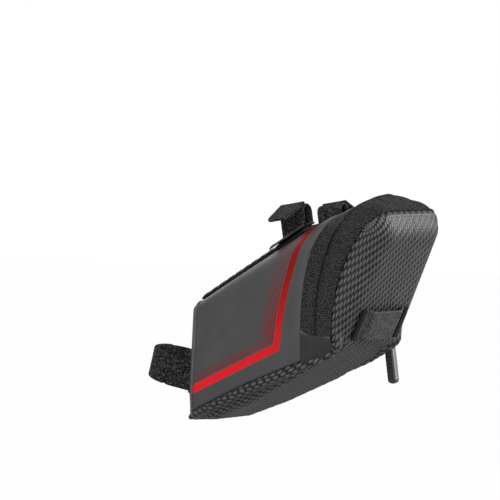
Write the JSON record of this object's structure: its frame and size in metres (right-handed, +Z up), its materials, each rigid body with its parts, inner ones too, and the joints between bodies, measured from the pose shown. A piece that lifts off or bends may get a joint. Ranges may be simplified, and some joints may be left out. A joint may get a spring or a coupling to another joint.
{
  "type": "saddle bag",
  "caption": "Wedge-shaped moulded saddle bag with a zipped clamshell lid, a light loop, and hook-and-loop straps for the seat post and saddle rails.",
  "frame": {"origin": "on the seat post's axis, at the middle of the post strap", "axes": "+X towards the back of the bicycle, +Y its right side, +Z up; the seat post leans back 15.5 degrees in the XZ plane"},
  "size_m": [0.2186, 0.0913, 0.1566],
  "materials": {
    "moulded_shell": "embossed twill pattern, satin",
    "panel_cloth": "smooth coated cloth, printed red lines",
    "grip_rubber": "ribbed, matt",
    "puller_rubber": "matt",
    "piping": "plain",
    "lining": "plain weave",
    "zip_tape": "fine diagonal weave",
    "zip_coil": "nylon",
    "end_patch": "smooth",
    "zip_metal": "black enamel, worn",
    "mesh": "open knit",
    "webbing": "woven",
    "thread": "dense stitches",
    "hook_loop": "hook and loop"
  },
  "bodies": {
    "body": {"base_shell": "moulded_shell", "left_side_panel": "panel_cloth", "right_side_panel": "panel_cloth", "front_panel": "panel_cloth", "top_panel": "panel_cloth", "top_grip_pad": "grip_rubber", "front_piping": "piping", "body_lining": "lining", "zip_tape_body": "zip_tape", "zip_coil_body": "zip_coil", "left_zip_end_patch": "end_patch", "right_zip_end_patch": "end_patch", "zip_stops": "zip_metal", "post_strap": "hook_loop", "post_strap_anchor": "webbing", "left_rail_strap": "hook_loop", "left_rail_strap_anchor": "webbing", "right_rail_strap": "hook_loop", "right_rail_strap_anchor": "webbing"},
    "lid": {"lid_shell": "moulded_shell", "lid_lining": "lining", "zip_tape_lid": "zip_tape", "zip_coil_lid": "zip_coil", "lid_mesh_pocket": "mesh", "mesh_pocket_hem": "webbing", "light_loop": "webbing", "light_loop_bartacks": "thread"},
    "slider": {"zip_slider": "zip_metal"},
    "puller": {"zip_pull_loop": "webbing", "zip_puller": "puller_rubber"},
    "post_tail": {"post_strap_tail": "hook_loop"},
    "left_rail_tail": {"left_rail_strap_tail": "hook_loop"},
    "right_rail_tail": {"right_rail_strap_tail": "hook_loop"}
  },
  "joints": [
    {"name": "lid_hinge", "type": "hinge", "parent": "body", "child": "lid", "pos_m": [0.1445, 0, 0.0118], "axis": [0, 1, 0], "range_deg": [0, 65]},
    {"name": "zip_travel", "type": "hinge", "parent": "body", "child": "slider", "pos_m": [0.2745, 0.041, 0.035], "axis": [0, 1, 0], "range_deg": [0, 16]},
    {"name": "puller_swing", "type": "hinge", "parent": "slider", "child": "puller", "pos_m": [0.1445, 0.0446, 0.0365], "axis": [0.9914, 0, 0.1305], "range_deg": [0, 165]},
    {"name": "post_strap_tail_peel", "type": "hinge", "parent": "body", "child": "post_tail", "pos_m": [-0.01494, 0.00895, 0.00414], "axis": [-0.2672, 0, -0.9636], "range_deg": [0, 60]},
    {"name": "left_rail_strap_tail_peel", "type": "hinge", "parent": "body", "child": "left_rail_tail", "pos_m": [0.11469, -0.02419, 0.11411], "axis": [-0.9877, 0, -0.1564], "range_deg": [0, 60]},
    {"name": "right_rail_strap_tail_peel", "type": "hinge", "parent": "body", "child": "right_rail_tail", "pos_m": [0.11469, 0.02419, 0.11411], "axis": [0.9877, 0, 0.1564], "range_deg": [0, 60]}
  ]
}
